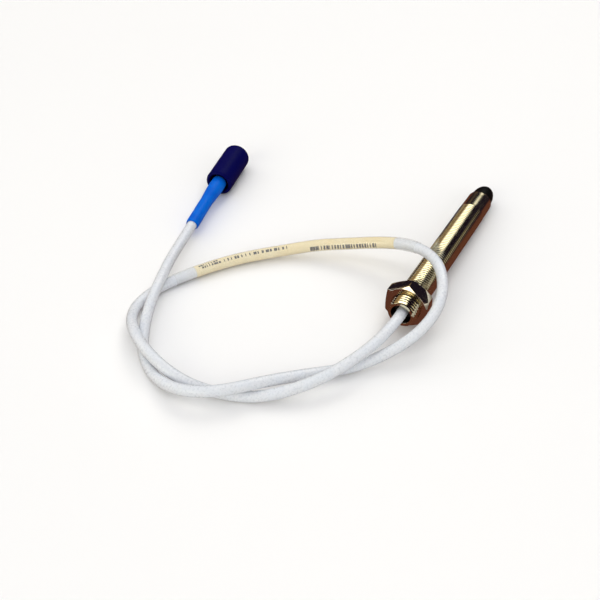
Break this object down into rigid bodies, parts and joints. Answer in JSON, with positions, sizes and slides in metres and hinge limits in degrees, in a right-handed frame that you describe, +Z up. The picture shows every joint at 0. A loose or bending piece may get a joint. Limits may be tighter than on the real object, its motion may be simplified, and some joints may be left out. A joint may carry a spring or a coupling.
{
  "type": "proximity probe",
  "caption": "Threaded cylindrical proximity probe with a domed plastic tip, a jam nut and a coaxial pigtail ending in a capped miniature connector.",
  "frame": {"origin": "under the middle of the probe's own length, on the surface it lies on, the free cable and its connector not counted", "axes": "+X along the probe towards its sensing tip (the axis drops 3 degrees towards the tip), +Z up"},
  "size_m": [0.1423, 0.1125, 0.0168],
  "materials": {
    "case_steel": "turned stainless steel, semi-bright",
    "nut_steel": "bright stainless steel",
    "tip_plastic": "moulded, satin black",
    "bobbin_plastic": "satin",
    "copper": "bare copper",
    "epoxy": "cast resin",
    "braid": "tinned braid",
    "inner_plastic": "satin fluoropolymer",
    "cable_jacket": "translucent fluoropolymer over a braid",
    "label_film": null,
    "clear_film": "clear heat-shrink",
    "blue_film": "satin heat-shrink",
    "gold_plate": "gold plate",
    "seal_rubber": "moulded silicone",
    "navy_plastic": "soft vinyl, semi-gloss"
  },
  "bodies": {
    "probe": {"case": "case_steel", "cable_anchor": "case_steel", "tip": "tip_plastic", "coil_former": "bobbin_plastic", "coil_winding": "copper", "signal_lead": "copper", "return_lead": "copper", "centre_conductor": "copper", "front_potting": "epoxy", "rear_seal": "epoxy", "outer_braid": "braid", "inner_braid": "braid", "inner_jacket": "inner_plastic", "dielectric": "inner_plastic", "connector_insulator": "inner_plastic", "cable_end_jacket": "cable_jacket", "cable": "cable_jacket", "label": "label_film", "clear_sleeve": "clear_film", "blue_sleeve": "blue_film", "crimp_ferrule": "gold_plate", "connector_body": "gold_plate", "connector_pin": "gold_plate"},
    "jam_nut": {"jam_nut": "nut_steel"},
    "coupling_nut": {"coupling_nut": "gold_plate", "gasket": "seal_rubber", "snap_ring": "gold_plate"},
    "dust_cap": {"dust_cap": "navy_plastic"}
  },
  "joints": [
    {"name": "jam_nut_travel", "type": "slide", "parent": "probe", "child": "jam_nut", "axis": [0.9985, 0, -0.055], "range_m": [-0.00317, 0.00423]},
    {"name": "coupling_nut_spin", "type": "hinge", "parent": "probe", "child": "coupling_nut", "pos_m": [-0.00475, 0.0921, 0.00525], "axis": [0.9829, 0.184, 0], "continuous": true},
    {"name": "dust_cap_pull", "type": "slide", "parent": "probe", "child": "dust_cap", "axis": [0.9829, 0.184, 0], "range_m": [0, 0.024]}
  ]
}
